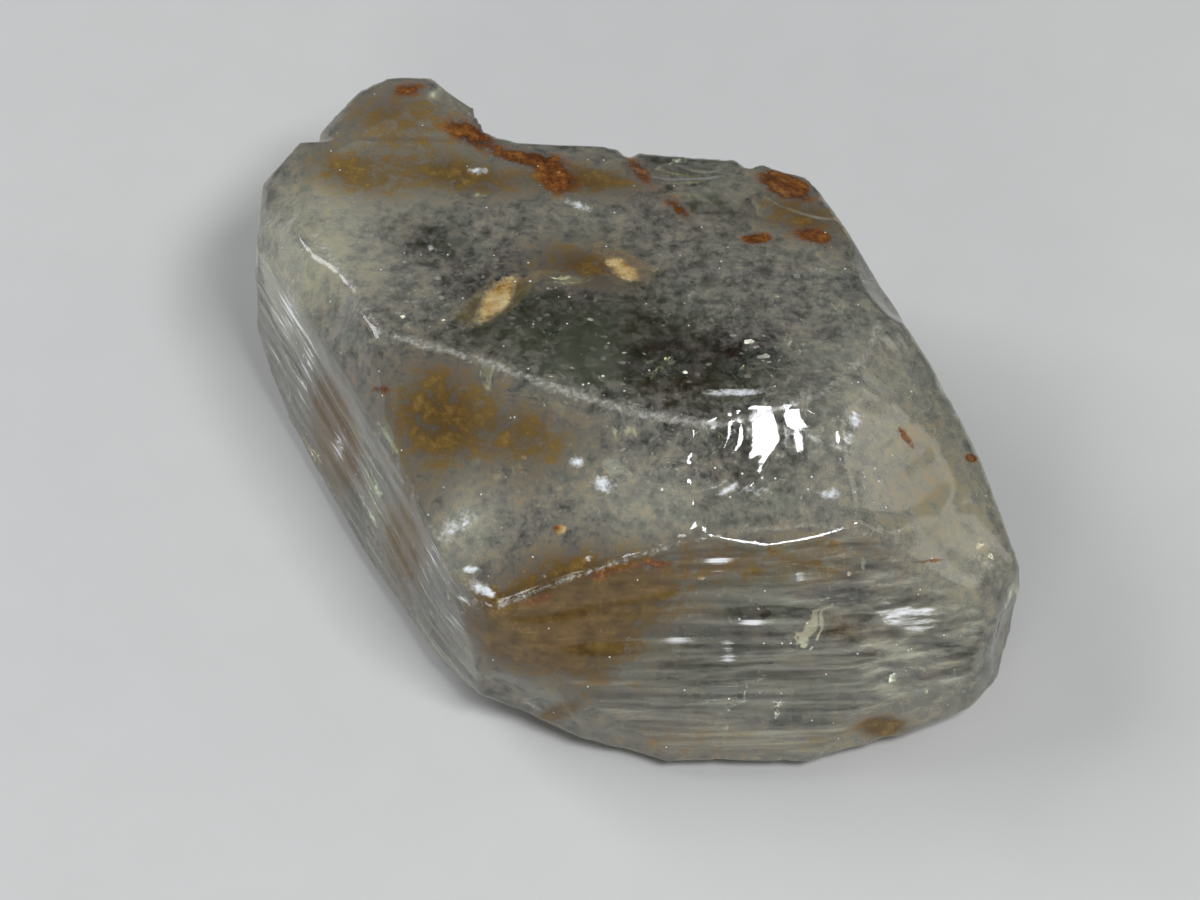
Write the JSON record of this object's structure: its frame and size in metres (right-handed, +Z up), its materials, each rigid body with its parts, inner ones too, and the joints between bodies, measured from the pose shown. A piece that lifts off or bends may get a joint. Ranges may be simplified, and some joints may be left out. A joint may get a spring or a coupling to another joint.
{
  "type": "goshenite crystal",
  "caption": "Broken, etched chunk of clear colourless beryl with flat faces, striated prism sides, flake scars, worn ridges and iron-stained cracks, resting on a flat spot.",
  "frame": {"origin": "middle of the bounding box at the level of the flat spot the crystal rests on", "axes": "+Z up off the resting face; +X to the right along the longest extent; -Y towards the striated prism face that is in front in the picture"},
  "size_m": [0.0298, 0.0278, 0.0121],
  "materials": {
    "goshenite": "clear to milky, glossy breaks, frosted worn ridges, rust-brown stains in cracks"
  },
  "bodies": {
    "root": {"goshenite_crystal": "goshenite"}
  },
  "joints": []
}
